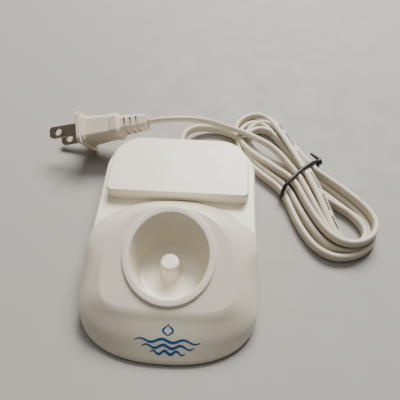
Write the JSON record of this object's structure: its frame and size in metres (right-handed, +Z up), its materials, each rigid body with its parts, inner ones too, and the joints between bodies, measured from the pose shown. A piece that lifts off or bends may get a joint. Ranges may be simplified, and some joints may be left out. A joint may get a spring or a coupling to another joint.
{
  "type": "toothbrush charging base",
  "caption": "Low induction charging base with a round cup and centre post for a powered toothbrush, a raised tray seat behind it, and a mains lead with plug wound in a tied hank.",
  "frame": {"origin": "middle of the base's own outline, on the surface that its feet stand on", "axes": "+Z up, +Y towards the rear where the lead comes out, +X to the right seen from the front"},
  "size_m": [0.1715, 0.1497, 0.0319],
  "materials": {
    "housing": "moulded ABS, fine satin texture",
    "cowl": "moulded ABS, low gloss",
    "cup": "moulded ABS, low gloss",
    "seal": "matt elastomer",
    "cover": "moulded ABS, spark-eroded texture",
    "label": "blank foil label",
    "steel": "zinc plated",
    "bobbin": "glass-filled nylon",
    "copper": "enamelled copper wire",
    "ferrite": "sintered ferrite",
    "board": "solder-masked laminate",
    "ceramic": "cast",
    "component_dark": "sleeved",
    "component_red": "dipped",
    "connector": "moulded nylon",
    "wire_dark": "PVC insulation",
    "wire_pale": "PVC insulation",
    "cord": "flexible PVC",
    "tie": "PVC coated wire",
    "plug": "moulded flexible PVC",
    "blade": "rolled brass, dulled",
    "foot": "soft elastomer"
  },
  "bodies": {
    "root": {"top_housing": "housing", "front_cowl": "cowl", "charging_cup": "cup", "cup_seal": "seal", "bottom_cover": "cover", "rating_label": "label", "housing_screws": "steel", "board_screws": "steel", "clamp_screws": "steel", "coil_bobbin": "bobbin", "primary_coil": "copper", "ferrite_core": "ferrite", "circuit_board": "board", "fuse": "ceramic", "damping_resistor": "ceramic", "smoothing_capacitor": "component_dark", "film_capacitor": "component_red", "rectifier_bridge": "component_dark", "power_transistor": "component_dark", "choke": "component_dark", "mains_terminal": "connector", "coil_header": "connector", "mains_wire_live": "wire_dark", "mains_wire_neutral": "wire_pale", "coil_wire_start": "copper", "coil_wire_end": "copper", "cord_clamp": "bobbin", "cord_inner_end": "cord", "cord_grommet": "cord", "lead_from_base": "cord", "cord_hank": "cord", "lead_to_plug": "cord", "twist_tie": "tie", "plug_body": "plug", "plug_bridge": "bobbin", "plug_blade_upper": "blade", "plug_blade_lower": "blade", "foot_front_left": "foot", "foot_front_right": "foot", "foot_rear_left": "foot", "foot_rear_right": "foot"}
  },
  "joints": []
}
